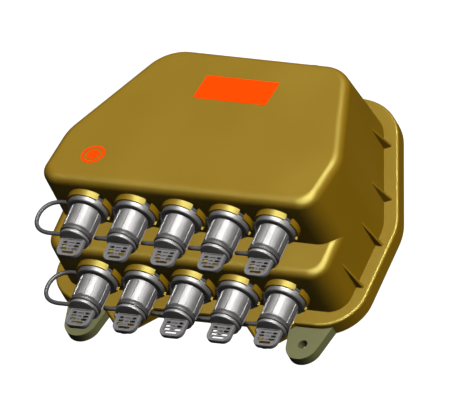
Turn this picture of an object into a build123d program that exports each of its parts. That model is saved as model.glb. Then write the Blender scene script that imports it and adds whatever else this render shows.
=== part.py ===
from build123d import *
import math
import os

os.makedirs("parts", exist_ok=True)

# Fibre termination box, millimetres. The box lies on its back: Z = 0 is the mounting plane,
# +Z points out of the wall, +Y points up the wall and the ports face -Y. X = 0 is the middle.

# Ports: two rows of five, one row in each front wall
PORT_PITCH = 32.0
PORTS_IN_ROW = 5
LOWER_AXIS_RISE = 15.1
UPPER_AXIS_RISE = 18.0

# Flange with its skirt; the margins are measured from the walls at its top
FLANGE_LENGTH = 163.6
FLANGE_TOP_Z = 10.0
FLANGE_THICKNESS = 2.5
FLANGE_SIDE_MARGIN = 9.0
FLANGE_FRONT_MARGIN = 10.1
FLANGE_BACK_MARGIN = 9.6
FLANGE_FRONT_R = 25.0
FLANGE_BACK_R = 38.0
FLANGE_EDGE_R = 1.5
SKIRT_WALL = 2.5
SKIRT_LIFT = 0.5

# Cover shell, measured at the top of its flange
PORT_SIDE_MARGIN = 32.0
TERRACE_DEPTH = 22.5
LOWER_STOREY = 36.1
UPPER_STOREY = 40.0
TAPER_LENGTH = 79.6
TAPER_ANGLE = 23.1
SIDE_DRAFT = 1.9
BACK_DRAFT = 5.5
TOP_SLOPE = 11.3
FRONT_CORNER_R = 12.0
BEND_R = 30.0
BACK_CORNER_R = 24.0
TOP_EDGE_R = 5.5
TERRACE_EDGE_R = 5.0
INNER_EDGE_R = 3.0
WALL = 3.0
ROOT = 0.5

# Screw lobes on the front edge of the flange
LOBE_REACH = 8.2
LOBE_R = 6.0
LOBE_ROOT_HALF = 18.0

# Gusset ribs between the flange and the side walls
GUSSET_THICKNESS = 1.6
GUSSET_REACH = 4.8
GUSSET_SINK = 2.0
STRAIGHT_GUSSETS_FROM_FRONT = (20.3, 51.1)
STRAIGHT_GUSSET_HEIGHT = 21.6
TAPER_GUSSETS_FROM_BACK = (61.5, 23.9)
TAPER_GUSSET_HEIGHT = 18.7

# Back plate with three ears, and the gasket on it
PLATE_THICKNESS = 6.0
PLATE_CLEARANCE = 0.4
EAR_SIDE_INSET = 20.6
EAR_REACH = 11.8
TOP_EAR_REACH = 11.6
EAR_HOLE_R = 3.0
EAR_R = 10.75
EAR_ROOT_HALF = 15.0
EAR_NOTCH_CLEARANCE = 0.5
GASKET_LAND = 1.0

# Screws
COVER_SCREW_R = 2.0
COVER_SCREW_HEAD_R = 4.0
COVER_SCREW_HEAD = 2.8
COVER_SCREW_LENGTH = 8.0
REAR_SCREW_R = 1.75
REAR_SCREW_HEAD_R = 3.6
REAR_SCREW_HEAD = 2.0
REAR_SCREW_LENGTH = 15.0
REAR_SCREW_RECESS = 0.3
REAR_BOSS_X = 48.0
REAR_BOSS_INSET = 7.0
REAR_BOSS_R = 5.0
REAR_BOSS_HEIGHT = 20.0
PILOT_SPARE = 1.0
THREAD_CLEARANCE = 0.05
SCREW_HOLE_CLEARANCE = 0.4
DRIVE_SLOT_WIDTH = 1.2
DRIVE_SLOT_DEPTH = 1.3

# Moulded collar round each port, as open arcs in degrees, 0 at the right and 90 at the top
COLLAR_R = 14.0
COLLAR_INNER_R = 12.8
COLLAR_HEIGHT = 4.0
COLLAR_ARCS = ((45.0, 162.0), (-28.0, 28.0), (-162.0, -45.0))

# Adapter: distances along its axis are outward from the front wall
FLANGE_R = 12.4
FLANGE_BACK = 2.6
FLANGE_FRONT = 6.6
FLANGE_CHAMFER = 0.5
BARREL_R = 7.9
BARREL_FRONT = 19.8
SOCKET_R = 5.7
SOCKET_FLOOR = 4.5
NECK_R = 9.0
NECK_CLEARANCE = 0.2
NECK_SPARE = 4.5
PORT_SNOUT = (12.8, 10.4)
PORT_SNOUT_LENGTH = 8.5
PORT_RECESS = (9.6, 7.6)
PORT_RECESS_FLOOR = 5.0
KEY_SLOT_WIDTH = 3.0
KEY_SLOT_DEPTH = 4.5
RING_GROOVE_AT = 11.0
RING_WIDTH = 2.0
RING_GROOVE_DEPTH = 1.0
RING_GAP = 0.1
NUT_ACROSS_FLATS = 22.0
NUT_THICKNESS = 4.0
SEAL_GAP = 0.1
SEAL_WIDTH = 0.8
SLEEVE_R = 1.6
SLEEVE_WALL = 0.3
SLEEVE_LENGTH = 11.4
SLEEVE_SLIT = 0.4

# Dust cap
CAP_CLEARANCE = 0.4
CAP_WALL = 1.05
CAP_RIB_HEIGHT = 0.4
CAP_RIB_WIDTH = 3.2
CAP_RIBS = 8
CAP_GAP = 0.5
CAP_END_GAP = 0.6
CAP_END_WALL = 1.2
CAP_CHAMFER = 1.0
CAP_NECK_R = 7.9
CAP_BEAD_R = 9.3
CAP_BEAD_THICKNESS = 2.0
CAP_BEAD_EDGE = 0.5

# Pull tab of the dust cap
TAB_WIDTH = 15.8
TAB_LENGTH = 12.2
TAB_THICKNESS = 3.2
TAB_CORNER_R = 4.6
TAB_ROOT = 1.0
TAB_RIM = 1.5
TAB_RECESS = 0.5
SLOT_HEIGHT = 1.1
SLOT_PITCH = 2.5
SLOT_FIRST = 2.9
SLOT_ROWS = 4
SLOT_WEB = 1.6
SLOT_MARGIN = 3.2

# Cap tether: two moulded eyes and the strap between them
STRAP_R = 1.0
EYE_CLEARANCE = 0.4
EYE_R = 9.5
EYE_THICKNESS = 1.8
EYE_GAP = 0.5
BASE_EYE_GAP = 0.3
BASE_EYE_R = 12.2
BASE_EYE_THICKNESS = 1.6
LOOP_REACH = 30.5
LOOP_R = 10.6
DIVE_START_GAP = 13.6
DIVE_SIDE = 7.5
DIVE_DEPTH = 10.8
DIVE_BACK = 7.2
DIVE_R = 3.0
TURN_R = 3.5
RETURN_SPARE = 1.0
RETURN_R = 2.0
RISE_DISTANCE = 6.5
RISE_R = 3.0
EXIT_R = 1.6

# Labels let into the top
INLAY_DEPTH = 0.4
INLAY_PROUD = 0.15
INLAY_CLEARANCE = 0.05
LABEL_CENTRE = (0.0, 38.1)
LABEL_SIZE = (49.5, 19.8)
MARKER_CENTRE = (-65.0, -26.4)
MARKER_R = 7.5
MARKER_GAP_R = 5.6
MARKER_DOT_R = 4.0

# Splice tray, its lid and the splitter inside the box
TRAY_LENGTH = 128.0
TRAY_WIDTH = 84.0
TRAY_HEIGHT = 10.0
TRAY_WALL = 1.6
TRAY_FLOOR = 1.6
TRAY_CENTRE_Y = 13.0
TRAY_END_R = 26.0
STANDOFF_HEIGHT = 4.0
STANDOFF_R = 4.0
TRAY_SCREW_R = 1.5
TRAY_SCREW_HEAD_R = 2.8
TRAY_SCREW_HEAD = 1.6
TRAY_SCREW_LENGTH = 4.0
TRAY_SCREW_INSET = 12.0
LID_THICKNESS = 1.5
LID_CLEARANCE = 0.3
LID_LIP = 1.2
SPOOL_R = 18.0
SPOOL_INSET = 30.0
COMB_LENGTH = 20.0
COMB_SLOTS = 6
COMB_PITCH = 4.2
COMB_WALL = 1.0
COMB_HEIGHT = 5.0
COMB_MARGIN = 3.0
SPLITTER = (60.0, 7.0, 4.0)
SPLITTER_EDGE = 0.5
SPLITTER_INSET = 12.0
SPLITTER_CLEARANCE = 0.1
CLIP_WALL = 1.4
CLIP_LENGTH = 8.0
CLIP_INSET = 10.0

# Places that follow from the sizes above
TAPER_TAN = math.tan(math.radians(TAPER_ANGLE))
TOP_TAN = math.tan(math.radians(TOP_SLOPE))
FLANGE_UNDER_Z = FLANGE_TOP_Z - FLANGE_THICKNESS
TERRACE_Z = FLANGE_TOP_Z + LOWER_STOREY
TOP_FRONT_Z = TERRACE_Z + UPPER_STOREY
LOWER_AXIS_Z = FLANGE_TOP_Z + LOWER_AXIS_RISE
UPPER_AXIS_Z = TERRACE_Z + UPPER_AXIS_RISE
FLANGE_FRONT_Y = -FLANGE_LENGTH / 2
FLANGE_BACK_Y = FLANGE_LENGTH / 2
LOWER_WALL_Y = FLANGE_FRONT_Y + FLANGE_FRONT_MARGIN
UPPER_WALL_Y = LOWER_WALL_Y + TERRACE_DEPTH
BODY_BACK_Y = FLANGE_BACK_Y - FLANGE_BACK_MARGIN
BODY_HALF_WIDTH = (PORTS_IN_ROW - 1) / 2 * PORT_PITCH + PORT_SIDE_MARGIN
TAPER_START_Y = BODY_BACK_Y - TAPER_LENGTH
LOBE_X = 1.5 * PORT_PITCH
LOBE_SCREW_Y = FLANGE_FRONT_Y - LOBE_REACH
EAR_X = BODY_HALF_WIDTH - EAR_SIDE_INSET
EAR_HOLE_Y = FLANGE_FRONT_Y - EAR_REACH
TOP_EAR_HOLE_Y = FLANGE_BACK_Y + TOP_EAR_REACH
REAR_BOSS_Y = BODY_BACK_Y - REAR_BOSS_INSET
NECK_BACK = WALL + NUT_THICKNESS + NECK_SPARE
SNOUT_BACK = NECK_BACK + PORT_SNOUT_LENGTH
RING_GROOVE_R = BARREL_R - RING_GROOVE_DEPTH
SEAL_INNER_R = NECK_R + SEAL_GAP
SEAL_OUTER_R = SEAL_INNER_R + SEAL_WIDTH
BASE_EYE_INNER_R = SEAL_OUTER_R + BASE_EYE_GAP
CAP_BORE_R = BARREL_R + CAP_CLEARANCE
CAP_R = CAP_BORE_R + CAP_WALL
CAP_RIB_R = CAP_R + CAP_RIB_HEIGHT
CAP_BACK = FLANGE_FRONT + CAP_GAP
CAP_BORE_FLOOR = BARREL_FRONT + CAP_END_GAP
CAP_FRONT = CAP_BORE_FLOOR + CAP_END_WALL
CAP_NECK_BACK = CAP_FRONT + CAP_CHAMFER
CAP_BEAD_BACK = CAP_NECK_BACK + EYE_THICKNESS + 2 * EYE_GAP
CAP_BEAD_FRONT = CAP_BEAD_BACK + CAP_BEAD_THICKNESS
TRAY_BACK_Z = PLATE_THICKNESS + STANDOFF_HEIGHT
TRAY_SEAT_Z = TRAY_BACK_Z + TRAY_FLOOR
BLOCK_HEIGHT = 1.5 * (TOP_FRONT_Z - FLANGE_TOP_Z)
UP = (Align.CENTER, Align.CENTER, Align.MIN)
DOWN = (Align.CENTER, Align.CENTER, Align.MAX)


def top_plane(drop=0.0):
    """Sloping plane of the top face, or one lower by drop, measured square to it."""
    slope = math.radians(TOP_SLOPE)
    normal = Vector(0, math.sin(slope), math.cos(slope))
    point = Vector(0, UPPER_WALL_Y, TOP_FRONT_Z) - normal * drop
    return Plane(origin=point, x_dir=(1, 0, 0), z_dir=normal)


def terrace_plane(drop=0.0):
    """Level plane of the terrace, or one lower by drop."""
    return Plane.XY.offset(TERRACE_Z - drop)


def plan_points(front_y, grow_side=0.0, grow_front=0.0, grow_back=0.0):
    """Corners of the six-sided plan, counter-clockwise from the right front."""
    half = BODY_HALF_WIDTH + grow_side
    bend_y = TAPER_START_Y + grow_side * math.tan(math.radians(TAPER_ANGLE / 2))
    back_y = BODY_BACK_Y + grow_back
    back_half = half - (back_y - bend_y) * TAPER_TAN
    front = front_y - grow_front
    right = [(half, front), (half, bend_y), (back_half, back_y)]
    left = [(-x, y) for x, y in reversed(right)]
    return right + left


def rounded_plan(points, front_r, bend_r, back_r):
    """The plan as a face with its six corners rounded in pairs."""
    face = make_face(Polyline(*points, close=True))
    for (x, y), radius in zip(points[:3], (front_r, bend_r, back_r)):
        pair = [v for v in face.vertices() if abs(abs(v.X) - x) < 0.01 and abs(v.Y - y) < 0.01]
        face = fillet(pair, radius)
    return face


def drafted_block(front_y, inset, top):
    """One storey of the body: upright front, drafted sides and back, rounded corners."""
    points = plan_points(front_y, -inset, -inset, -inset)
    block = extrude(Pos(0, 0, FLANGE_TOP_Z) * make_face(Polyline(*points, close=True)), BLOCK_HEIGHT)
    neutral = Plane.XY.offset(FLANGE_TOP_Z)
    count = len(points)
    drafts = (SIDE_DRAFT, SIDE_DRAFT, BACK_DRAFT, SIDE_DRAFT, SIDE_DRAFT)
    for first, angle in enumerate(drafts):
        a = Vector(*points[first])
        b = Vector(*points[(first + 1) % count])
        middle = (a + b) * 0.5 + Vector(0, 0, FLANGE_TOP_Z)
        side = block.faces().filter_by(Axis.Z, reverse=True).sort_by_distance(middle)[0]
        block = draft(side, neutral, angle)
    for index, radius in ((0, FRONT_CORNER_R), (1, BEND_R), (2, BACK_CORNER_R)):
        corners = [Vector(*points[i], FLANGE_TOP_Z) for i in (index, count - 1 - index)]
        uprights = block.edges().filter_by(Plane.XY, reverse=True)
        pair = [uprights.sort_by_distance(corner)[0] for corner in corners]
        block = fillet(pair, radius - inset)
    return split(block, top, keep=Keep.BOTTOM)


def rounded_top(block, radius):
    """The storey with its top edge rounded."""
    top = block.faces().sort_by(Axis.Z)[-1]
    return fillet(top.edges(), radius)


def body_outside():
    """The two storeys of the shell as one block."""
    upper = rounded_top(drafted_block(UPPER_WALL_Y, 0.0, top_plane()), TOP_EDGE_R)
    lower = rounded_top(drafted_block(LOWER_WALL_Y, 0.0, terrace_plane()), TERRACE_EDGE_R)
    return upper + lower


def body_inside():
    """The cavity, with its mouth drawn down through the flange."""
    upper = rounded_top(drafted_block(UPPER_WALL_Y, WALL, top_plane(WALL)), INNER_EDGE_R)
    lower = rounded_top(drafted_block(LOWER_WALL_Y, WALL, terrace_plane(WALL)), INNER_EDGE_R)
    mouth = extrude(lower.faces().sort_by(Axis.Z)[0], -FLANGE_THICKNESS, dir=(0, 0, 1))
    return upper + lower + mouth


def lobe_plan(x):
    """Outline of one screw lobe, flared to the front edge of the flange."""
    circle = Pos(x, LOBE_SCREW_Y) * Circle(LOBE_R)
    root_y = FLANGE_FRONT_Y + SKIRT_WALL
    root = Line((x - LOBE_ROOT_HALF, FLANGE_FRONT_Y), (x + LOBE_ROOT_HALF, FLANGE_FRONT_Y))
    inner = Line((x - LOBE_ROOT_HALF, root_y), (x + LOBE_ROOT_HALF, root_y))
    return make_hull(circle.edges() + root.edges() + inner.edges())


def flange_plan():
    """Outline of the flange with its two lobes."""
    points = plan_points(LOWER_WALL_Y, FLANGE_SIDE_MARGIN, FLANGE_FRONT_MARGIN, FLANGE_BACK_MARGIN)
    plan = rounded_plan(points, FLANGE_FRONT_R, BEND_R + FLANGE_SIDE_MARGIN, FLANGE_BACK_R)
    for side in (-1, 1):
        plan += lobe_plan(side * LOBE_X)
    return plan


def plate_plan():
    """Outline of the back plate without its ears, clear of the skirt."""
    return offset(flange_plan(), -SKIRT_WALL - PLATE_CLEARANCE)


def ear_plan(x, hole_y, root_y, grow):
    """Outline of one mounting ear, flared towards the plate."""
    circle = Pos(x, hole_y) * Circle(EAR_R + grow)
    half = EAR_ROOT_HALF + grow
    root = Line((x - half, root_y), (x + half, root_y))
    return make_hull(circle.edges() + root.edges())


def ears_plan(grow=0.0):
    """Outlines of the three ears, or of the notches that they need in the skirt."""
    front_root = FLANGE_FRONT_Y + 2 * SKIRT_WALL
    back_root = FLANGE_BACK_Y - 2 * SKIRT_WALL
    plan = ear_plan(-EAR_X, EAR_HOLE_Y, front_root, grow)
    plan += ear_plan(EAR_X, EAR_HOLE_Y, front_root, grow)
    plan += ear_plan(0.0, TOP_EAR_HOLE_Y, back_root, grow)
    return plan


def gusset(x, y, angle, height):
    """Thin triangular rib standing on the flange with its long side in the wall."""
    lean = height * math.tan(math.radians(SIDE_DRAFT))
    outline = Polyline(
        (-GUSSET_SINK, FLANGE_TOP_Z - ROOT),
        (GUSSET_REACH, FLANGE_TOP_Z - ROOT),
        (GUSSET_REACH, FLANGE_TOP_Z),
        (-lean, FLANGE_TOP_Z + height),
        (-GUSSET_SINK - lean, FLANGE_TOP_Z + height),
        close=True,
    )
    rib = extrude(Plane.XZ * make_face(outline), GUSSET_THICKNESS / 2, both=True)
    return Pos(x, y, 0) * Rot(0, 0, angle) * rib


def gussets():
    ribs = []
    for distance in STRAIGHT_GUSSETS_FROM_FRONT:
        ribs.append((BODY_HALF_WIDTH, LOWER_WALL_Y + distance, 0.0, STRAIGHT_GUSSET_HEIGHT))
    for distance in TAPER_GUSSETS_FROM_BACK:
        y = BODY_BACK_Y - distance
        x = BODY_HALF_WIDTH - (y - TAPER_START_Y) * TAPER_TAN
        ribs.append((x, y, TAPER_ANGLE, TAPER_GUSSET_HEIGHT))
    solids = []
    for x, y, angle, height in ribs:
        solids.append(gusset(x, y, angle, height))
        solids.append(gusset(-x, y, 180.0 - angle, height))
    return solids


def port_places():
    """Frames of the ten ports: +Z of each runs outward along the port, +Y up."""
    places = []
    for wall_y, axis_z in ((UPPER_WALL_Y, UPPER_AXIS_Z), (LOWER_WALL_Y, LOWER_AXIS_Z)):
        for index in range(PORTS_IN_ROW):
            x = (index - (PORTS_IN_ROW - 1) / 2) * PORT_PITCH
            places.append(Pos(x, wall_y, axis_z) * Rot(90, 0, 0))
    return places


def ring(outer, inner, start, end):
    """Plain ring along the port axis."""
    return extrude(Pos(0, 0, start) * (Circle(outer) - Circle(inner)), end - start)


def collar():
    """Raised ring on the front wall, broken by notches."""
    arcs = None
    for start, end in COLLAR_ARCS:
        middle = math.radians((start + end) / 2)
        reach = 2 * COLLAR_R
        half = math.radians((end - start) / 2)
        sector = Polyline(
            (0, 0),
            (reach * math.cos(middle - half), reach * math.sin(middle - half)),
            (reach * math.cos(middle), reach * math.sin(middle)),
            (reach * math.cos(middle + half), reach * math.sin(middle + half)),
            close=True,
        )
        piece = make_face(sector) & (Circle(COLLAR_R) - Circle(COLLAR_INNER_R))
        arcs = piece if arcs is None else arcs + piece
    return extrude(Pos(0, 0, -ROOT) * arcs, COLLAR_HEIGHT + ROOT)


def label_pocket_place(centre):
    """Frame on the top face at a point given in plan."""
    x, y = centre
    plane = top_plane()
    z = TOP_FRONT_Z - (y - UPPER_WALL_Y) * TOP_TAN
    return Plane(origin=(x, y, z), x_dir=(1, 0, 0), z_dir=plane.z_dir).location


def label_plan(grow=0.0):
    return Rectangle(LABEL_SIZE[0] + 2 * grow, LABEL_SIZE[1] + 2 * grow)


def marker_plan(grow=0.0):
    return Circle(MARKER_R + grow) - Circle(MARKER_GAP_R - grow) + Circle(MARKER_DOT_R + grow)


def inlay(plan, centre, start, end):
    return label_pocket_place(centre) * extrude(Pos(0, 0, start) * plan, end - start)


def cover_screw_places():
    return [Pos(side * LOBE_X, LOBE_SCREW_Y, FLANGE_TOP_Z) for side in (-1, 1)]


def rear_screw_places():
    return [Pos(side * REAR_BOSS_X, REAR_BOSS_Y, 0) for side in (-1, 1)]


def ear_hole_places():
    return [Pos(-EAR_X, EAR_HOLE_Y), Pos(EAR_X, EAR_HOLE_Y), Pos(0, TOP_EAR_HOLE_Y)]


def cover():
    """Moulded cover: two-storey shell, flange with skirt and lobes, gussets and collars."""
    flange = extrude(Pos(0, 0, SKIRT_LIFT) * flange_plan(), FLANGE_TOP_Z - SKIRT_LIFT)
    flange = fillet(flange.faces().sort_by(Axis.Z)[-1].edges(), FLANGE_EDGE_R)
    pocket = extrude(offset(flange_plan(), -SKIRT_WALL), FLANGE_UNDER_Z)
    shell = flange - pocket + body_outside()
    shell -= body_inside()
    boss = Cylinder(REAR_BOSS_R, REAR_BOSS_HEIGHT, align=UP)
    pilot = Cylinder(REAR_SCREW_R + THREAD_CLEARANCE, REAR_SCREW_LENGTH + PILOT_SPARE, align=UP)
    for place in rear_screw_places():
        shell += place * Pos(0, 0, PLATE_THICKNESS) * boss
        shell -= place * pilot
    for rib in gussets():
        shell += rib
    ring_arcs = collar()
    bore = Cylinder(NECK_R + NECK_CLEARANCE, 4 * WALL)
    for place in port_places():
        shell += place * ring_arcs
        shell -= place * bore
    hole = Cylinder(COVER_SCREW_R + SCREW_HOLE_CLEARANCE, 2 * FLANGE_TOP_Z)
    for place in cover_screw_places():
        shell -= place * hole
    shell -= extrude(ears_plan(EAR_NOTCH_CLEARANCE), PLATE_THICKNESS + EAR_NOTCH_CLEARANCE)
    shell -= inlay(label_plan(INLAY_CLEARANCE), LABEL_CENTRE, -INLAY_DEPTH, 2 * INLAY_DEPTH)
    shell -= inlay(marker_plan(INLAY_CLEARANCE), MARKER_CENTRE, -INLAY_DEPTH, 2 * INLAY_DEPTH)
    return shell


def back_plate():
    """Back plate with two lower ears, one upper ear and four tray standoffs."""
    plan = plate_plan() + ears_plan()
    for place in ear_hole_places():
        plan -= place * Circle(EAR_HOLE_R)
    plate = extrude(plan, PLATE_THICKNESS)
    post = Cylinder(STANDOFF_R, STANDOFF_HEIGHT, align=UP)
    pilot = Cylinder(TRAY_SCREW_R + THREAD_CLEARANCE, TRAY_SCREW_LENGTH + PILOT_SPARE, align=DOWN)
    for place in tray_screw_places():
        plate += place * Pos(0, 0, PLATE_THICKNESS) * post
        plate -= place * Pos(0, 0, TRAY_BACK_Z) * pilot
    tapped = Cylinder(COVER_SCREW_R + THREAD_CLEARANCE, 3 * FLANGE_TOP_Z)
    for place in cover_screw_places():
        plate -= place * tapped
    for place in rear_screw_places():
        plate -= place * rear_screw_sink()
    return plate


def rear_screw_sink():
    """Countersunk hole in the plate for one rear screw, seen from behind."""
    head_r = REAR_SCREW_HEAD_R + THREAD_CLEARANCE
    mouth = Cylinder(head_r, REAR_SCREW_RECESS, align=UP)
    cone = Cone(head_r, REAR_SCREW_R + THREAD_CLEARANCE, REAR_SCREW_HEAD, align=UP)
    clear = Cylinder(REAR_SCREW_R + SCREW_HOLE_CLEARANCE, 2 * PLATE_THICKNESS, align=UP)
    return mouth + Pos(0, 0, REAR_SCREW_RECESS) * cone + clear


def gasket():
    """Flat sealing ring between the back plate and the underside of the flange."""
    inset = WALL - GASKET_LAND
    points = plan_points(LOWER_WALL_Y, -inset, -inset, -inset)
    plan = plate_plan() - rounded_plan(points, FRONT_CORNER_R - inset, BEND_R - inset, BACK_CORNER_R - inset)
    for place in cover_screw_places():
        plan -= Pos(place.position.X, place.position.Y) * Circle(COVER_SCREW_R + SCREW_HOLE_CLEARANCE)
    for place in rear_screw_places():
        plan -= place * Circle(REAR_BOSS_R + SCREW_HOLE_CLEARANCE)
    return extrude(Pos(0, 0, PLATE_THICKNESS) * plan, FLANGE_UNDER_Z - PLATE_THICKNESS)


def pan_screw(radius, length, head_r, head):
    """Pan-head screw with the underside of its head at the origin."""
    cap = Cylinder(head_r, head, align=UP)
    cap = chamfer(cap.edges().group_by(Axis.Z)[-1], head / 3)
    shank = Cylinder(radius, length, align=DOWN)
    slot = Box(2 * head_r, DRIVE_SLOT_WIDTH, DRIVE_SLOT_DEPTH, align=DOWN)
    return cap + shank - Pos(0, 0, head) * slot


def cover_screws():
    screw = pan_screw(COVER_SCREW_R, COVER_SCREW_LENGTH, COVER_SCREW_HEAD_R, COVER_SCREW_HEAD)
    return [place * screw for place in cover_screw_places()]


def rear_screws():
    """Countersunk screws driven from behind into the bosses of the cover."""
    head = Cone(REAR_SCREW_HEAD_R, REAR_SCREW_R, REAR_SCREW_HEAD, align=UP)
    shank = Cylinder(REAR_SCREW_R, REAR_SCREW_LENGTH, align=UP)
    slot = Box(2 * REAR_SCREW_HEAD_R, DRIVE_SLOT_WIDTH, DRIVE_SLOT_DEPTH)
    screw = head + shank - slot
    return [place * Pos(0, 0, REAR_SCREW_RECESS) * screw for place in rear_screw_places()]


def adapter():
    """Sealed bulkhead adapter: round flange, plug barrel outside, square port inside."""
    disc = extrude(Pos(0, 0, FLANGE_BACK) * Circle(FLANGE_R), FLANGE_FRONT - FLANGE_BACK)
    body = chamfer(disc.edges().sort_by(Axis.Z)[-1], FLANGE_CHAMFER)
    body += extrude(Pos(0, 0, SOCKET_FLOOR) * Circle(BARREL_R), BARREL_FRONT - SOCKET_FLOOR)
    body += extrude(Pos(0, 0, -NECK_BACK) * Circle(NECK_R), NECK_BACK + FLANGE_BACK)
    body += Box(*PORT_SNOUT, SNOUT_BACK, align=DOWN)
    body -= extrude(Pos(0, 0, SOCKET_FLOOR) * Circle(SOCKET_R), BARREL_FRONT)
    body -= Pos(0, 0, -SNOUT_BACK) * Box(*PORT_RECESS, SNOUT_BACK - PORT_RECESS_FLOOR, align=UP)
    body -= Cylinder(SLEEVE_R + THREAD_CLEARANCE, 4 * SNOUT_BACK)
    body -= Pos(0, 0, BARREL_FRONT) * Box(KEY_SLOT_WIDTH, 3 * BARREL_R, 2 * KEY_SLOT_DEPTH)
    groove_start = RING_GROOVE_AT - RING_WIDTH / 2
    body -= ring(2 * BARREL_R, RING_GROOVE_R, groove_start, groove_start + RING_WIDTH)
    return body


def barrel_seal():
    """Square-section seal in the barrel groove, just clear of the cap."""
    start = RING_GROOVE_AT - RING_WIDTH / 2 + RING_GAP
    return ring(CAP_BORE_R - RING_GAP, RING_GROOVE_R + RING_GAP, start, start + RING_WIDTH - 2 * RING_GAP)


def neck_seal():
    """Flat seal between the adapter flange and the front wall, inside the tether eye."""
    return ring(SEAL_OUTER_R, SEAL_INNER_R, 0.0, FLANGE_BACK)


def neck_nut():
    """Hexagonal nut on the neck, against the inside of the front wall."""
    flat_r = NUT_ACROSS_FLATS / 2
    hexagon = RegularPolygon(flat_r, 6, major_radius=False) - Circle(NECK_R + THREAD_CLEARANCE)
    return extrude(Pos(0, 0, -WALL - NUT_THICKNESS) * hexagon, NUT_THICKNESS)


def ceramic_sleeve():
    """Split alignment sleeve in the middle web of the adapter."""
    middle = (SOCKET_FLOOR - PORT_RECESS_FLOOR) / 2
    tube = ring(SLEEVE_R, SLEEVE_R - SLEEVE_WALL, middle - SLEEVE_LENGTH / 2, middle + SLEEVE_LENGTH / 2)
    return tube - Pos(SLEEVE_R, 0, middle) * Box(SLEEVE_R, SLEEVE_SLIT, 2 * SLEEVE_LENGTH)


def tab_plan(inset):
    """Outline of the tab, or of its dish inside the rim: square at the cap, rounded outside."""
    length = TAB_ROOT + TAB_LENGTH - inset
    outline = Rectangle(TAB_WIDTH - 2 * inset, length, align=(Align.CENTER, Align.MIN))
    return fillet(outline.vertices().sort_by(Axis.Y)[-2:], TAB_CORNER_R - inset)


def tab_slots():
    """Rows of slots through the tab: pairs, and one wide slot in the outermost row."""
    span = TAB_WIDTH - 2 * SLOT_MARGIN
    half = (span - SLOT_WEB) / 2
    slots = []
    for row in range(SLOT_ROWS):
        y = TAB_ROOT + SLOT_FIRST + row * SLOT_PITCH
        if row == SLOT_ROWS - 1:
            slots.append(Pos(0, y, 0) * Box(span - 2 * SLOT_WEB, SLOT_HEIGHT, 2 * TAB_THICKNESS))
        else:
            for side in (-1, 1):
                x = side * (half + SLOT_WEB) / 2
                slots.append(Pos(x, y, 0) * Box(half, SLOT_HEIGHT, 2 * TAB_THICKNESS))
    return slots


def pull_tab():
    """Flat tab with a raised rim on both faces and rows of slots right through."""
    tab = extrude(tab_plan(0.0), TAB_THICKNESS / 2, both=True)
    dish = extrude(tab_plan(TAB_RIM), TAB_RECESS)
    tab -= Pos(0, 0, TAB_THICKNESS / 2 - TAB_RECESS) * dish
    tab -= Pos(0, 0, -TAB_THICKNESS / 2) * dish
    for slot in tab_slots():
        tab -= slot
    return Pos(0, 0, CAP_BEAD_FRONT - TAB_ROOT) * Rot(90, 0, 0) * tab


def dust_cap():
    """Push-on cap: ribbed skirt, neck for the tether eye, bead and pull tab."""
    profile = Polyline(
        (CAP_BORE_R, CAP_BACK),
        (CAP_R, CAP_BACK),
        (CAP_R, CAP_FRONT),
        (CAP_NECK_R, CAP_NECK_BACK),
        (CAP_NECK_R, CAP_BEAD_BACK),
        (CAP_BEAD_R, CAP_BEAD_BACK),
        (CAP_BEAD_R, CAP_BEAD_FRONT - CAP_BEAD_EDGE),
        (CAP_BEAD_R - CAP_BEAD_EDGE, CAP_BEAD_FRONT),
        (0, CAP_BEAD_FRONT),
        (0, CAP_BORE_FLOOR),
        (CAP_BORE_R, CAP_BORE_FLOOR),
        close=True,
    )
    cap = revolve(Plane.XZ * make_face(profile), Axis.Z)
    wheel = (Circle(CAP_RIB_R) & rib_bars()) - Circle(CAP_R - CAP_WALL / 2)
    cap += extrude(Pos(0, 0, CAP_BACK + CAP_CHAMFER) * wheel, CAP_FRONT - CAP_BACK - CAP_CHAMFER)
    return cap + pull_tab()


def rib_bars():
    """Bars across the cap whose ends become its ribs."""
    bars = None
    for index in range(CAP_RIBS // 2):
        bar = Rot(0, 0, index * 360.0 / CAP_RIBS) * Rectangle(3 * CAP_R, CAP_RIB_WIDTH)
        bars = bar if bars is None else bars + bar
    return bars


def strap_path(first_in_row):
    """Middle line of the strap in the port frame: X right, Y up, Z outward."""
    eye_at = CAP_NECK_BACK + EYE_GAP + EYE_THICKNESS / 2
    base_at = FLANGE_BACK / 2
    start = (-EYE_R + STRAP_R / 2, 0, eye_at)
    end = (-BASE_EYE_R + STRAP_R / 2, 0, base_at)
    if first_in_row:
        points = [start, (-LOOP_REACH, 0, eye_at), (-LOOP_REACH, 0, base_at), end]
        radii = [LOOP_R, LOOP_R]
    else:
        gap_x = PORT_PITCH / 2
        dive_x = PORT_PITCH - DIVE_START_GAP
        points = [
            start,
            (-dive_x, 0, eye_at),
            (-dive_x - DIVE_SIDE, -DIVE_DEPTH, eye_at - DIVE_BACK),
            (-gap_x - RETURN_SPARE, -DIVE_DEPTH, eye_at - DIVE_BACK),
            (-gap_x, -DIVE_DEPTH, RISE_DISTANCE),
            (-gap_x, 0, base_at),
            end,
        ]
        radii = [DIVE_R, TURN_R, RETURN_R, RISE_R, EXIT_R]
    return FilletPolyline(*points, radius=radii)


def tether(first_in_row):
    """Moulded tether: eye round the cap neck, strap, eye behind the adapter flange."""
    eye_start = CAP_NECK_BACK + EYE_GAP
    eye = ring(EYE_R, CAP_NECK_R + EYE_CLEARANCE, eye_start, eye_start + EYE_THICKNESS)
    base_start = (FLANGE_BACK - BASE_EYE_THICKNESS) / 2
    base = ring(BASE_EYE_R, BASE_EYE_INNER_R, base_start, base_start + BASE_EYE_THICKNESS)
    path = strap_path(first_in_row)
    section = Plane(origin=path @ 0, z_dir=path % 0) * Circle(STRAP_R)
    strap = sweep(section, path=path)
    return strap + eye + base


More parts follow.
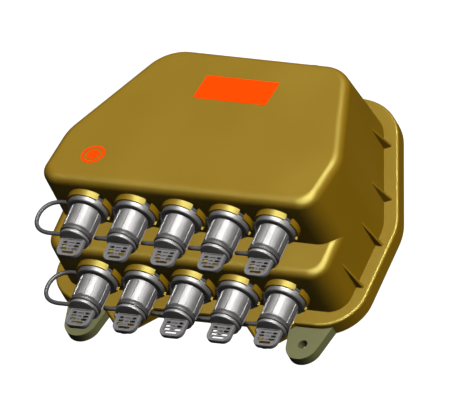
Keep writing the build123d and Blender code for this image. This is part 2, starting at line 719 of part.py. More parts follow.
def tray_screw_places():
    """Places of the tray screws on the mounting plane."""
    x = TRAY_LENGTH / 2 - TRAY_SCREW_INSET
    y = TRAY_WIDTH / 2 - TRAY_SCREW_INSET
    corners = [(-x, -y), (-x, y), (x, -y), (x, y)]
    return [Pos(cx, TRAY_CENTRE_Y + cy, 0) for cx, cy in corners]


def tray_plan(inset=0.0):
    return RectangleRounded(TRAY_LENGTH - 2 * inset, TRAY_WIDTH - 2 * inset, TRAY_END_R - inset)


def splice_tray():
    """Shallow tray with winding spools, a splice comb and clips for the splitter."""
    tray = extrude(tray_plan(), TRAY_HEIGHT)
    tray -= Pos(0, 0, TRAY_FLOOR) * extrude(tray_plan(TRAY_WALL), TRAY_HEIGHT)
    spool = ring(SPOOL_R, SPOOL_R - TRAY_WALL, TRAY_FLOOR, TRAY_HEIGHT - LID_LIP - LID_CLEARANCE)
    clip = Box(CLIP_LENGTH, CLIP_WALL, SPLITTER[2], align=UP)
    clip_y = SPLITTER[1] / 2 + SPLITTER_CLEARANCE + CLIP_WALL / 2
    splitter_y = SPLITTER_INSET - TRAY_WIDTH / 2
    for side in (-1, 1):
        tray += Pos(side * (TRAY_LENGTH / 2 - SPOOL_INSET), 0, 0) * spool
        for edge in (-1, 1):
            x = side * (SPLITTER[0] / 2 - CLIP_INSET)
            tray += Pos(x, splitter_y + edge * clip_y, TRAY_FLOOR) * clip
    comb_wall = Box(COMB_LENGTH, COMB_WALL, COMB_HEIGHT, align=UP)
    comb_end = TRAY_WIDTH / 2 - TRAY_WALL - COMB_MARGIN
    for index in range(COMB_SLOTS + 1):
        tray += Pos(0, comb_end - index * COMB_PITCH, TRAY_FLOOR) * comb_wall
    tray = Pos(0, TRAY_CENTRE_Y, TRAY_BACK_Z) * tray
    hole = Cylinder(TRAY_SCREW_R + SCREW_HOLE_CLEARANCE, 4 * TRAY_SEAT_Z)
    for place in tray_screw_places():
        tray -= place * hole
    return tray


def tray_lid():
    """Lid of the tray with a lip inside its wall."""
    top = extrude(tray_plan(), LID_THICKNESS)
    lip_plan = tray_plan(TRAY_WALL + LID_CLEARANCE) - tray_plan(2 * TRAY_WALL + LID_CLEARANCE)
    lip = Pos(0, 0, -LID_LIP) * extrude(lip_plan, LID_LIP)
    return Pos(0, TRAY_CENTRE_Y, TRAY_BACK_Z + TRAY_HEIGHT) * (top + lip)


def splitter():
    """Small optical splitter, a closed metal bar in the tray's clips."""
    bar = Box(*SPLITTER, align=UP)
    bar = chamfer(bar.edges().filter_by(Axis.X), SPLITTER_EDGE)
    return Pos(0, TRAY_CENTRE_Y + SPLITTER_INSET - TRAY_WIDTH / 2, TRAY_SEAT_Z) * bar


def tray_screws():
    screw = pan_screw(TRAY_SCREW_R, TRAY_SCREW_LENGTH, TRAY_SCREW_HEAD_R, TRAY_SCREW_HEAD)
    return [place * Pos(0, 0, TRAY_SEAT_Z) * screw for place in tray_screw_places()]


def write(name, shape):
    """Write one node; a list becomes a group of separate solids."""
    if isinstance(shape, list):
        solids = [solid for item in shape for solid in item.solids()]
        shape = Compound(children=solids)
    export_step(shape, f"parts/{name}.step")


def main():
    places = port_places()
    write("cover", cover())
    write("back_plate", back_plate())
    write("gasket", gasket())
    write("cover_screws", cover_screws())
    write("rear_screws", rear_screws())
    write("label_panel", inlay(label_plan(), LABEL_CENTRE, -INLAY_DEPTH, INLAY_PROUD))
    write("marker_spot", [inlay(marker_plan(), MARKER_CENTRE, -INLAY_DEPTH, INLAY_PROUD)])
    body = adapter()
    cap = dust_cap()
    for number, place in enumerate(places, start=1):
        write(f"adapter_{number}", place * body)
        write(f"dust_cap_{number}", place * cap)
        first_in_row = (number - 1) % PORTS_IN_ROW == 0
        write(f"tether_{number}", place * tether(first_in_row))
    write("barrel_seals", [place * barrel_seal() for place in places])
    write("neck_seals", [place * neck_seal() for place in places])
    write("neck_nuts", [place * neck_nut() for place in places])
    write("ceramic_sleeves", [place * ceramic_sleeve() for place in places])
    write("splice_tray", splice_tray())
    write("tray_lid", tray_lid())
    write("splitter", splitter())
    write("tray_screws", tray_screws())


main()
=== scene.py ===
import math

import bmesh
import bpy
from mathutils import Matrix, Vector


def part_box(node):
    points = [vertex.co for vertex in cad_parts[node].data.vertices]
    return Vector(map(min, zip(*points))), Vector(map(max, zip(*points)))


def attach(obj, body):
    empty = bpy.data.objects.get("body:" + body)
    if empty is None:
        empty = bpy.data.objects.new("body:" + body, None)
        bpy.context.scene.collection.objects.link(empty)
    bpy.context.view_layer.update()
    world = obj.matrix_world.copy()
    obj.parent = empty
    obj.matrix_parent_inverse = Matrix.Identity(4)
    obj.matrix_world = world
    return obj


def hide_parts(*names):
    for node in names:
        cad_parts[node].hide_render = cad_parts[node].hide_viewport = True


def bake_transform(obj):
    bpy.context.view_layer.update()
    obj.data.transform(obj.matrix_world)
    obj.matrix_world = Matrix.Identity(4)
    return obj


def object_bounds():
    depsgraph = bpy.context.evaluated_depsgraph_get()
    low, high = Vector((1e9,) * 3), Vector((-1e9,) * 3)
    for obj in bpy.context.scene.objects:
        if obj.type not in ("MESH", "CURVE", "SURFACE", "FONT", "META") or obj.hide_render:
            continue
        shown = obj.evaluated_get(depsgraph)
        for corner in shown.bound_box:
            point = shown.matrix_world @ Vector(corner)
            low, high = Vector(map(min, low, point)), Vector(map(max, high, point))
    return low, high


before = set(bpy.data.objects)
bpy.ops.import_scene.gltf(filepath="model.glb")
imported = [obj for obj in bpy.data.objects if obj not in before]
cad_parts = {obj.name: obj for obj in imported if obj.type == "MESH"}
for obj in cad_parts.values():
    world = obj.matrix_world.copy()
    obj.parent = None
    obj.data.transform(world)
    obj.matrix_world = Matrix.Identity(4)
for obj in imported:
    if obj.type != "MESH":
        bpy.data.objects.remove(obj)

# Metres and degrees, unless a comment says otherwise. The box lies on its back: +Z points out of
# the wall, +Y up the wall, and the ports face -Y.
CAD_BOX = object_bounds()
MM = 0.001

# Camera: parallel view from above the right front corner, turned about its own axis
VIEW_WIDTH = 267.69 * MM
VIEW_AZIMUTH = 45.94
VIEW_ELEVATION = 45.90
VIEW_ROLL = -30.51
VIEW_AIM = Vector((5.62, -18.69, 37.41)) * MM
VIEW_DISTANCE = 1.5

# Ports: two rows, and how far a cap's back edge is from the front wall
PORTS_IN_ROW = 5
PORT_COUNT = 2 * PORTS_IN_ROW
CAP_BACK = 7.1 * MM

# Dust cap: radii, distances from the front wall and the eight ribs
CAP_BORE_R = 8.3 * MM
CAP_R = 9.35 * MM
CAP_FRONT = 21.6 * MM
CAP_BORE_FLOOR = 20.4 * MM
CAP_NECK_R = 7.9 * MM
CAP_NECK_BACK = 22.6 * MM
CAP_BEAD_R = 9.3 * MM
CAP_BEAD_BACK = 25.4 * MM
CAP_BEAD_FRONT = 27.4 * MM
CAP_RIBS = 8
CAP_RIB_WIDTH = 3.2 * MM
CAP_RIB_HEIGHT = 0.4 * MM
CAP_RIB_BACK = 8.1 * MM
CAP_RIB_RUN_IN = 0.5 * MM
CAP_RIB_FLANK = 0.8

# Pull tab: plate with a raised rim and rows of slots
TAB_WIDTH = 15.8 * MM
TAB_ROOT = 1.0 * MM
TAB_LENGTH = 12.2 * MM
TAB_THICKNESS = 3.2 * MM
TAB_CORNER_R = 4.6 * MM
TAB_RIM = 1.5 * MM
TAB_RECESS = 0.5 * MM
TAB_EDGE = 0.45 * MM
WEB_THICKNESS = 0.8 * MM
WEB_EDGE = 0.12 * MM
SLOT_HEIGHT = 1.45 * MM
SLOT_PITCH = 2.3 * MM
SLOT_FIRST = 2.5 * MM
SLOT_OUTER = 5.9 * MM
SLOT_WIDTHS = (3.2 * MM, 3.8 * MM, 4.5 * MM)
SLOT_LAST = 8.0 * MM
SLIT_HEIGHT = 0.4 * MM
SLIT_BRIDGE = 0.6 * MM

# Tether: an eye round the cap neck, the strap and an eye behind the adapter flange
STRAP_R = 1.3 * MM
STRAP_ROUNDNESS = 5
STRAP_STEPS = 10
EYE_AT = 24.0 * MM
EYE_IN = 8.25 * MM
EYE_OUT = 9.85 * MM
EYE_HALF = 1.15 * MM
EYE_CORNER_R = 0.75 * MM
BASE_AT = 1.3 * MM
BASE_IN = 10.3 * MM
BASE_OUT = 12.1 * MM
BASE_HALF = 0.8 * MM
BASE_CORNER_R = 0.3 * MM
EYE_SIDES = 72

# Angles in degrees above which an edge stays hard
CAP_HARD_EDGE = 32.0
TETHER_HARD_EDGE = 40.0

# Floor
FLOOR_SIZE = 6.0
FLOOR_DROP = 0.2 * MM
FLOOR_MOTTLE = 0.5
FLOOR_TINT = 0.01
FLOOR_ROUGHNESS = 0.9

# Surface grain: sizes of its features and depths of its bump
MOTTLE_SIZE = 45 * MM
GRAIN_SIZE = 0.9 * MM
PLASTIC_DEPTH = 0.03 * MM
FINE_DEPTH = 0.01 * MM
FILM_DEPTH = 0.005 * MM
GLAZE_DEPTH = 0.002 * MM
TURNING_DEPTH = 0.02 * MM
TURNING_LENGTH = 20 * MM
TURNING_LINES = 45.0
SHEEN_SIZE = 12 * MM
FLOW_SIZE = 30 * MM
ROUGHNESS_SWING = 0.03
NOISE_SPAN = (0.3, 0.7)

# Metal and clear plastic
METALLIC = 0.72
METAL_TINT = 0.08
METAL_SMOOTHER = 0.06
METAL_ROUGHER = 0.08
LID_CLEARNESS = 0.85
LID_TINT = 0.05
LID_ROUGHNESS = (0.08, 0.16)

# Lights: distance and side length in metres
FAR = 3.0
NEAR = 1.6
SOFT_BOX = 1.4
WIDE_BOX = 2.2
SMALL_BOX = 0.9

# Colours, linear
OCHRE = (0.395, 0.205, 0.0005)
OCHRE_GLOSS = (1.0, 0.93, 0.27)
KHAKI = (0.245, 0.245, 0.098)
ORANGE = (1.0, 0.068, 0.0)
# Strength of a painted glow: the orange label film and marker spot emit their own light to look brighter,
# though they are no lamp
LABEL_PAINTED_GLOW = 0.33
STEEL = (0.50, 0.49, 0.48)
CAP_GREY = (0.275, 0.262, 0.264)
STRAP_GREY = (0.12, 0.114, 0.114)
BLACK_RUBBER = (0.012, 0.012, 0.012)
BLACK_PLASTIC = (0.022, 0.022, 0.024)
IVORY = (0.78, 0.76, 0.70)
SMOKE = (0.35, 0.40, 0.45)
CERAMIC = (0.85, 0.84, 0.80)
FLOOR_WHITE = (0.25, 0.25, 0.25)
FLOOR_GLOW = 0.92
WORLD_LOW = 0.010
WORLD_HIGH = 0.04
WORLD_SEEN = 0.95
WORLD_HORIZON = -0.2


def new_material(name):
    """A node material with its tree, its shader and the shared coordinate node."""
    material = bpy.data.materials.new(name)
    material.use_nodes = True
    tree = material.node_tree
    shader = next(n for n in tree.nodes if n.type == "BSDF_PRINCIPLED")
    where = tree.nodes.new("ShaderNodeTexCoord")
    return material, tree, shader, where


def noise(tree, where, size, detail, squeeze=(1.0, 1.0, 1.0)):
    """Noise whose features are about size metres across, squeezed along an axis by more than 1."""
    mapping = tree.nodes.new("ShaderNodeMapping")
    mapping.inputs["Scale"].default_value = squeeze
    texture = tree.nodes.new("ShaderNodeTexNoise")
    texture.inputs["Scale"].default_value = 1.0 / size
    texture.inputs["Detail"].default_value = detail
    tree.links.new(where.outputs["Object"], mapping.inputs["Vector"])
    tree.links.new(mapping.outputs["Vector"], texture.inputs["Vector"])
    return texture.outputs["Fac"]


def spread(tree, factor, low, high):
    """The noise factor mapped from its usual span to low and high."""
    node = tree.nodes.new("ShaderNodeMapRange")
    node.inputs["From Min"].default_value, node.inputs["From Max"].default_value = NOISE_SPAN
    node.inputs["To Min"].default_value = low
    node.inputs["To Max"].default_value = high
    tree.links.new(factor, node.inputs["Value"])
    return node.outputs["Result"]


def tinted(tree, colour, factor, amount):
    """The colour, darker and lighter by amount as the factor goes."""
    mix = tree.nodes.new("ShaderNodeMix")
    mix.data_type = "RGBA"
    mix.inputs["A"].default_value = (*[c * (1 - amount) for c in colour], 1)
    mix.inputs["B"].default_value = (*[min(1.0, c * (1 + amount)) for c in colour], 1)
    tree.links.new(spread(tree, factor, 0.0, 1.0), mix.inputs["Factor"])
    return mix.outputs["Result"]


def bumped(tree, shader, height, depth):
    """Bump of the given depth in metres, from a height factor."""
    bump = tree.nodes.new("ShaderNodeBump")
    bump.inputs["Distance"].default_value = depth
    tree.links.new(height, bump.inputs["Height"])
    tree.links.new(bump.outputs["Normal"], shader.inputs["Normal"])


def moulded(name, colour, roughness, depth=PLASTIC_DEPTH, tint=0.06, gloss=1.5):
    """Moulded plastic or rubber: faint mottling, fine grain and uneven gloss."""
    material, tree, shader, where = new_material(name)
    broad = noise(tree, where, MOTTLE_SIZE, 4.0)
    fine = noise(tree, where, GRAIN_SIZE, 2.0)
    tree.links.new(tinted(tree, colour, broad, tint), shader.inputs["Base Color"])
    uneven = spread(tree, broad, roughness - ROUGHNESS_SWING, roughness + ROUGHNESS_SWING)
    tree.links.new(uneven, shader.inputs["Roughness"])
    shader.inputs["IOR"].default_value = gloss
    bumped(tree, shader, fine, depth)
    return material, shader


def turned_metal(name, colour, roughness):
    """Turned metal: fine lines round the port axis and a slightly uneven sheen."""
    material, tree, shader, where = new_material(name)
    lines = noise(tree, where, TURNING_LENGTH, 3.0, (1.0, TURNING_LINES, 1.0))
    broad = noise(tree, where, SHEEN_SIZE, 3.0)
    tree.links.new(tinted(tree, colour, broad, METAL_TINT), shader.inputs["Base Color"])
    uneven = spread(tree, lines, roughness - METAL_SMOOTHER, roughness + METAL_ROUGHER)
    tree.links.new(uneven, shader.inputs["Roughness"])
    shader.inputs["Metallic"].default_value = METALLIC
    bumped(tree, shader, lines, TURNING_DEPTH)
    return material


def clear_plastic(name, colour):
    """Smoke-tinted clear plastic with faint flow marks."""
    material, tree, shader, where = new_material(name)
    flow = noise(tree, where, FLOW_SIZE, 2.0)
    tree.links.new(tinted(tree, colour, flow, LID_TINT), shader.inputs["Base Color"])
    tree.links.new(spread(tree, flow, *LID_ROUGHNESS), shader.inputs["Roughness"])
    shader.inputs["Transmission Weight"].default_value = LID_CLEARNESS
    return material


def paint(node, material):
    """The one material on a CAD node."""
    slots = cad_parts[node].material_slots
    for slot in slots:
        slot.material = material


def paint_everything():
    """Materials of all carried-over nodes."""
    ochre, ochre_shader = moulded("cover_plastic", OCHRE, roughness=0.43, tint=0.02, gloss=3.0)
    ochre_shader.inputs["Specular Tint"].default_value = (*OCHRE_GLOSS, 1)
    khaki = moulded("plate_plastic", KHAKI, roughness=0.5)[0]
    seal = moulded("seal_rubber", BLACK_RUBBER, roughness=0.6, depth=FINE_DEPTH)[0]
    nut = moulded("nut_plastic", BLACK_PLASTIC, roughness=0.45, depth=FINE_DEPTH)[0]
    steel = turned_metal("screw_steel", STEEL, roughness=0.45)
    shell = turned_metal("adapter_metal", STEEL, roughness=0.42)
    # Label film: its own orange colour, plus an emitted orange glow that is painted light and not a lamp
    label_with_painted_glow, label_glow_shader = moulded("label_film_painted_glow", ORANGE, roughness=0.7, depth=FILM_DEPTH, tint=0.02, gloss=1.1)
    label_glow_shader.inputs["Emission Color"].default_value = (*ORANGE, 1)
    label_glow_shader.inputs["Emission Strength"].default_value = LABEL_PAINTED_GLOW
    ivory = moulded("tray_plastic", IVORY, roughness=0.4, depth=FINE_DEPTH)[0]
    ceramic = moulded("sleeve_ceramic", CERAMIC, roughness=0.18, depth=GLAZE_DEPTH, tint=0.02)[0]
    paint("cover", ochre)
    paint("back_plate", khaki)
    for node in ("gasket", "barrel_seals", "neck_seals"):
        paint(node, seal)
    paint("neck_nuts", nut)
    for node in ("cover_screws", "rear_screws", "tray_screws"):
        paint(node, steel)
    for node in ("label_panel", "marker_spot"):
        paint(node, label_with_painted_glow)
    paint("splice_tray", ivory)
    paint("tray_lid", clear_plastic("lid_plastic", SMOKE))
    paint("splitter", turned_metal("splitter_metal", STEEL, roughness=0.35))
    paint("ceramic_sleeves", ceramic)
    for number in range(1, PORT_COUNT + 1):
        paint(f"adapter_{number}", shell)


def rounded_profile(points, steps=3):
    """Closed profile of (radius, distance, corner radius) with its corners rounded."""
    outline = []
    count = len(points)
    for index, (r, d, corner) in enumerate(points):
        here = Vector((r, d))
        if corner <= 0:
            outline.append(here)
            continue
        before = (Vector(points[index - 1][:2]) - here).normalized()
        after = (Vector(points[(index + 1) % count][:2]) - here).normalized()
        half = before.angle(after) / 2
        centre = here + (before + after).normalized() * corner / math.sin(half)
        first = here + before * corner / math.tan(half) - centre
        last = here + after * corner / math.tan(half) - centre
        turn = first.angle_signed(last)
        for step in range(steps + 1):
            angle = -turn * step / steps
            cos, sin = math.cos(angle), math.sin(angle)
            arm = Vector((first.x * cos - first.y * sin, first.x * sin + first.y * cos))
            outline.append(centre + arm)
    return outline


def lathe(mesh, outline, angles, lift=None):
    """Turned solid round the port axis; lift(angle, point) adds to the radius."""
    rings = []
    for angle in angles:
        ring = []
        for point in outline:
            radius = point.x
            if lift is not None:
                radius += lift(angle, point)
            ring.append(mesh.verts.new((radius * math.cos(angle), -point.y, radius * math.sin(angle))))
        rings.append(ring)
    for index, ring in enumerate(rings):
        following = rings[(index + 1) % len(rings)]
        for step in range(len(outline)):
            nxt = (step + 1) % len(outline)
            mesh.faces.new((ring[step], ring[nxt], following[nxt], following[step]))


def even_angles(count):
    """Angles of a full turn in equal steps."""
    return [2 * math.pi * index / count for index in range(count)]


def rib_angles(between=6):
    """Angles that hold both edges of each rib and the spans between them."""
    half = math.asin(CAP_RIB_WIDTH / 2 / CAP_R)
    flank = math.radians(CAP_RIB_FLANK)
    angles = []
    pitch = 2 * math.pi / CAP_RIBS
    for rib in range(CAP_RIBS):
        centre = rib * pitch
        angles += [centre - half - flank, centre - half, centre - half / 3, centre + half / 3, centre + half]
        start = centre + half + flank
        end = centre + pitch - half - flank
        angles += [start + (end - start) * step / between for step in range(between)]
    return angles, half


def cap_shell(mesh):
    """Ribbed skirt, neck and bead of the dust cap, as one turned solid with its bore."""
    angles, half = rib_angles()
    middle = 0.02 * MM
    outline = rounded_profile([
        (CAP_BORE_R, CAP_BACK, 0.25 * MM),
        (CAP_R, CAP_BACK, 0.3 * MM),
        (CAP_R, CAP_RIB_BACK - CAP_RIB_RUN_IN, 0.0),
        (CAP_R, CAP_RIB_BACK, 0.0),
        (CAP_R, CAP_FRONT, 0.35 * MM),
        (CAP_NECK_R, CAP_NECK_BACK, 0.3 * MM),
        (CAP_NECK_R, CAP_BEAD_BACK, 0.2 * MM),
        (CAP_BEAD_R, CAP_BEAD_BACK, 0.7 * MM),
        (CAP_BEAD_R, CAP_BEAD_FRONT, 0.8 * MM),
        (middle, CAP_BEAD_FRONT, 0.0),
        (middle, CAP_BORE_FLOOR, 0.0),
        (CAP_BORE_R, CAP_BORE_FLOOR, 0.3 * MM),
    ])
    limit = CAP_R - 0.5 * CAP_RIB_HEIGHT

    def lift(angle, point):
        off = (angle * CAP_RIBS / (2 * math.pi) + 0.5) % 1.0 - 0.5
        on_rib = abs(off) * 2 * math.pi / CAP_RIBS <= half + 1e-6
        on_skirt = CAP_RIB_BACK - 1e-6 <= point.y <= CAP_FRONT + 0.2 * MM and point.x > limit
        return CAP_RIB_HEIGHT if on_rib and on_skirt else 0.0

    lathe(mesh, outline, angles, lift)


def tab_outline(inset, steps=6):
    """Outline of the tab or of its dish: square at the cap and rounded outside."""
    half = TAB_WIDTH / 2 - inset
    far = TAB_ROOT + TAB_LENGTH - inset
    near = inset if inset > 0 else 0.0
    corner = TAB_CORNER_R - inset
    outline = [(-half, near), (half, near)]
    for centre, start in ((half - corner, 0.0), (corner - half, math.pi / 2)):
        for step in range(steps + 1):
            angle = start + math.pi / 2 * step / steps
            outline.append((centre + corner * math.cos(angle), far - corner + corner * math.sin(angle)))
    return outline


def slot_outline(x, y, width, height=SLOT_HEIGHT, steps=3):
    """Outline of one slot with round ends."""
    radius = height / 2
    outline = []
    for centre, start in ((x + width / 2 - radius, -math.pi / 2), (x - width / 2 + radius, math.pi / 2)):
        for step in range(steps + 1):
            angle = start + math.pi * step / steps
            outline.append((centre + radius * math.cos(angle), y + radius * math.sin(angle)))
    return outline


def plate_mesh(outlines, thickness, edge):
    """Flat plate with holes and softened edges, from its outlines."""
    curve = bpy.data.curves.new("plate", "CURVE")
    curve.dimensions = "2D"
    curve.fill_mode = "BOTH"
    curve.extrude = thickness / 2 - edge
    curve.bevel_depth = edge
    curve.bevel_resolution = 1
    curve.offset = -edge
    for outline in outlines:
        spline = curve.splines.new("POLY")
        spline.points.add(len(outline) - 1)
        for point, (x, y) in zip(spline.points, outline):
            point.co = (x, y, 0, 1)
        spline.use_cyclic_u = True
    holder = bpy.data.objects.new("plate", curve)
    mesh = bpy.data.meshes.new_from_object(holder)
    bpy.data.objects.remove(holder)
    bpy.data.curves.remove(curve)
    return mesh


def slot_outlines():
    """Pairs of slots with a slit between them, and one long slot at the end."""
    outlines = []
    y = TAB_ROOT + SLOT_FIRST
    for width in SLOT_WIDTHS:
        outlines.append(slot_outline(width / 2 - SLOT_OUTER, y, width))
        outlines.append(slot_outline(SLOT_OUTER - width / 2, y, width))
        outlines.append(slot_outline(0.0, y, 2 * (SLOT_OUTER - width - SLIT_BRIDGE), SLIT_HEIGHT))
        y += SLOT_PITCH
    outlines.append(slot_outline(0.0, y, SLOT_LAST))
    return outlines


def finish_mesh(mesh, name, materials, sharp):
    """Mesh data from the built mesh, smooth with its hard edges marked."""
    bmesh.ops.recalc_face_normals(mesh, faces=mesh.faces)
    data = bpy.data.meshes.new(name)
    mesh.to_mesh(data)
    mesh.free()
    for material in materials:
        data.materials.append(material)
    data.polygons.foreach_set("use_smooth", [True] * len(data.polygons))
    data.set_sharp_from_angle(angle=math.radians(sharp))
    return data


def cap_mesh(metal, matt):
    """Dust cap in the port frame: X right, -Y outward, Z up, from the front wall."""
    mesh = bmesh.new()
    cap_shell(mesh)
    rim = plate_mesh([tab_outline(0.0), tab_outline(TAB_RIM)], TAB_THICKNESS, TAB_EDGE)
    web = plate_mesh([tab_outline(TAB_RIM / 2)] + slot_outlines(), WEB_THICKNESS, WEB_EDGE)
    web_rise = TAB_THICKNESS / 2 - TAB_RECESS - WEB_THICKNESS / 2
    for plate, rise in ((rim, 0.0), (web, web_rise)):
        first = len(mesh.faces)
        turn = Matrix(((1, 0, 0, 0), (0, -1, 0, TAB_ROOT - CAP_BEAD_FRONT), (0, 0, -1, rise), (0, 0, 0, 1)))
        plate.transform(turn)
        mesh.from_mesh(plate)
        mesh.faces.ensure_lookup_table()
        for face in mesh.faces[first:]:
            face.material_index = 1
        bpy.data.meshes.remove(plate)
    return finish_mesh(mesh, "cap_body", (metal, matt), CAP_HARD_EDGE)


def strap_points(first_in_row):
    """Corners of the strap's middle line in the port frame, as X, distance and Z, in mm."""
    if first_in_row:
        return [(-9.0, 24.0, 0), (-14.0, 24.0, 0), (-21.3, 24.0, 0), (-27.0, 21.6, 0), (-30.4, 16.4, 0),
                (-30.4, 8.9, 0), (-27.0, 3.7, 0), (-21.3, 1.3, 0), (-14.0, 1.3, 0), (-11.4, 1.3, 0)]
    return [(-9.0, 24.0, 0), (-13.0, 24.0, 0), (-18.2, 24.0, 0), (-21.5, 20.9, -4.8), (-25.9, 16.8, -10.8),
            (-21.0, 16.8, -10.8), (-17.0, 15.5, -10.8), (-16.3, 10.5, -10.8), (-16.0, 6.2, -10.6),
            (-16.0, 3.6, -5.0), (-16.0, 1.4, 0), (-13.5, 1.3, 0), (-11.4, 1.3, 0)]


def strap_mesh(first_in_row):
    """Round strap along a smooth line through its corners."""
    curve = bpy.data.curves.new("strap", "CURVE")
    curve.dimensions = "3D"
    curve.bevel_depth = STRAP_R
    curve.bevel_resolution = STRAP_ROUNDNESS
    curve.use_fill_caps = True
    curve.resolution_u = STRAP_STEPS
    points = strap_points(first_in_row)
    spline = curve.splines.new("NURBS")
    spline.points.add(len(points) - 1)
    for point, (x, distance, z) in zip(spline.points, points):
        point.co = (x * MM, -distance * MM, z * MM, 1)
    spline.order_u = 3
    spline.use_endpoint_u = True
    holder = bpy.data.objects.new("strap", curve)
    mesh = bpy.data.meshes.new_from_object(holder)
    bpy.data.objects.remove(holder)
    bpy.data.curves.remove(curve)
    return mesh


def tether_mesh(first_in_row, rubber):
    """Tether in the port frame: round eye on the cap neck, strap and flat eye at the wall."""
    mesh = bmesh.new()
    for inner, outer, at, half, corner in (
        (EYE_IN, EYE_OUT, EYE_AT, EYE_HALF, EYE_CORNER_R),
        (BASE_IN, BASE_OUT, BASE_AT, BASE_HALF, BASE_CORNER_R),
    ):
        outline = rounded_profile([
            (inner, at - half, corner), (outer, at - half, corner),
            (outer, at + half, corner), (inner, at + half, corner),
        ], 4)
        lathe(mesh, outline, even_angles(EYE_SIDES))
    strap = strap_mesh(first_in_row)
    mesh.from_mesh(strap)
    bpy.data.meshes.remove(strap)
    return finish_mesh(mesh, "tether_body", (rubber,), TETHER_HARD_EDGE)


def add_piece(name, data, place):
    """A copy of the mesh with its place written into its points."""
    own = data.copy()
    own.name = name
    own.transform(Matrix.Translation(place))
    piece = bpy.data.objects.new(name, own)
    bpy.context.scene.collection.objects.link(piece)
    return piece


def add_caps_and_tethers():
    """Detailed dust caps and tethers in place of the plain ones."""
    metal = turned_metal("cap_metal", STEEL, roughness=0.50)
    matt = moulded("tab_plastic", CAP_GREY, roughness=0.55, depth=FINE_DEPTH, tint=0.05)[0]
    rubber = moulded("strap_rubber", STRAP_GREY, roughness=0.38, depth=FINE_DEPTH, gloss=1.8)[0]
    cap = cap_mesh(metal, matt)
    tethers = {first: tether_mesh(first, rubber) for first in (True, False)}
    for number in range(1, PORT_COUNT + 1):
        low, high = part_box(f"dust_cap_{number}")
        place = Vector(((low.x + high.x) / 2, high.y + CAP_BACK, (low.z + high.z) / 2))
        piece = add_piece(f"cap_detail_{number}", cap, place)
        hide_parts(f"dust_cap_{number}")
        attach(piece, f"cap_{number}")
        first_in_row = (number - 1) % PORTS_IN_ROW == 0
        strap = add_piece(f"tether_detail_{number}", tethers[first_in_row], place)
        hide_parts(f"tether_{number}")
        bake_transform(strap)


def add_floor():
    """Plain pale floor that the box lies on, kept out of the box's own reflections."""
    bpy.ops.mesh.primitive_plane_add(size=FLOOR_SIZE, location=(0, 0, CAD_BOX[0][2] - FLOOR_DROP))
    floor = bpy.context.object
    floor.name = "floor"
    material, tree, shader, where = new_material("floor_paint")
    broad = noise(tree, where, FLOOR_MOTTLE, 2.0)
    tree.links.new(tinted(tree, FLOOR_WHITE, broad, FLOOR_TINT), shader.inputs["Base Color"])
    shader.inputs["Roughness"].default_value = FLOOR_ROUGHNESS
    shader.inputs["Emission Color"].default_value = (1, 1, 1, 1)
    shader.inputs["Emission Strength"].default_value = FLOOR_GLOW
    floor.data.materials.append(material)
    floor.visible_diffuse = False
    floor.visible_glossy = False


def view_rotation():
    """Turn of the camera: its azimuth from the front, its height and its roll."""
    azimuth = Matrix.Rotation(math.radians(VIEW_AZIMUTH), 3, "Z")
    tilt = Matrix.Rotation(math.radians(90 - VIEW_ELEVATION), 3, "X")
    roll = Matrix.Rotation(math.radians(VIEW_ROLL), 3, "Z")
    return azimuth @ tilt @ roll


def add_camera():
    """Parallel camera at the fitted angle, width and aim."""
    rotation = view_rotation()
    data = bpy.data.cameras.new("photo_view")
    data.type = "ORTHO"
    data.ortho_scale = VIEW_WIDTH
    data.clip_end = 10.0
    camera = bpy.data.objects.new("photo_view", data)
    place = VIEW_AIM + rotation @ Vector((0, 0, VIEW_DISTANCE))
    camera.matrix_world = Matrix.Translation(place) @ rotation.to_4x4()
    bpy.context.scene.collection.objects.link(camera)
    bpy.context.scene.camera = camera


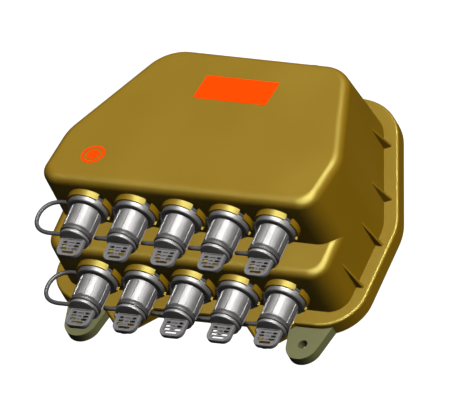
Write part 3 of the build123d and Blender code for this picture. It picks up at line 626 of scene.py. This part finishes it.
def add_area_light(name, direction, distance, size, power, diffuse=True, glossy=True, open_light=False):
    """Square soft light from a direction; an open one gives no shadow and no bounced light."""
    data = bpy.data.lights.new(name, "AREA")
    data.shape = "SQUARE"
    data.size = size
    data.energy = power
    data.use_shadow = not open_light
    if open_light:
        data.cycles.max_bounces = 0
        data.cycles.use_multiple_importance_sampling = False
    light = bpy.data.objects.new(name, data)
    light.visible_diffuse = diffuse
    light.visible_glossy = glossy
    place = Vector(direction).normalized() * distance
    light.matrix_world = Matrix.Translation(place) @ place.to_track_quat("Z", "Y").to_matrix().to_4x4()
    bpy.context.scene.collection.objects.link(light)


def add_lights():
    """Soft studio lights, by the direction that they come from and their power in watts."""
    add_area_light("fill_light", (0.52, 0.13, 0.845), FAR, SOFT_BOX, 71, glossy=False, open_light=True)
    add_area_light("soft_light", (0.41, 0.13, 0.90), FAR, SOFT_BOX, 8, glossy=False)
    add_area_light("gloss_light", (0.361, -0.142, 0.922), NEAR, WIDE_BOX, 45, diffuse=False, open_light=True)
    add_area_light("edge_light", (0.215, 0.605, 0.767), NEAR, SMALL_BOX, 12, diffuse=False, open_light=True)
    add_area_light("back_light", (-0.55, 0.75, 0.35), FAR, SOFT_BOX, 14, glossy=False)


def add_world():
    """World that is white for the camera and dim, brighter upwards, for the box."""
    world = bpy.data.worlds.new("studio")
    world.use_nodes = True
    tree = world.node_tree
    background = next(n for n in tree.nodes if n.type == "BACKGROUND")
    where = tree.nodes.new("ShaderNodeTexCoord")
    split = tree.nodes.new("ShaderNodeSeparateXYZ")
    tree.links.new(where.outputs["Generated"], split.inputs["Vector"])
    height = tree.nodes.new("ShaderNodeMapRange")
    height.inputs["From Min"].default_value = WORLD_HORIZON
    height.inputs["From Max"].default_value = 1.0
    height.inputs["To Min"].default_value = WORLD_LOW
    height.inputs["To Max"].default_value = WORLD_HIGH
    tree.links.new(split.outputs["Z"], height.inputs["Value"])
    ray = tree.nodes.new("ShaderNodeLightPath")
    shown = tree.nodes.new("ShaderNodeMapRange")
    tree.links.new(ray.outputs["Is Camera Ray"], shown.inputs["Value"])
    tree.links.new(height.outputs["Result"], shown.inputs["To Min"])
    shown.inputs["To Max"].default_value = WORLD_SEEN
    background.inputs["Color"].default_value = (1.0, 1.0, 1.0, 1)
    tree.links.new(shown.outputs["Result"], background.inputs["Strength"])
    bpy.context.scene.world = world
    bpy.context.scene.view_settings.view_transform = "Standard"


add_camera()
add_lights()
add_world()
add_floor()
paint_everything()
add_caps_and_tethers()
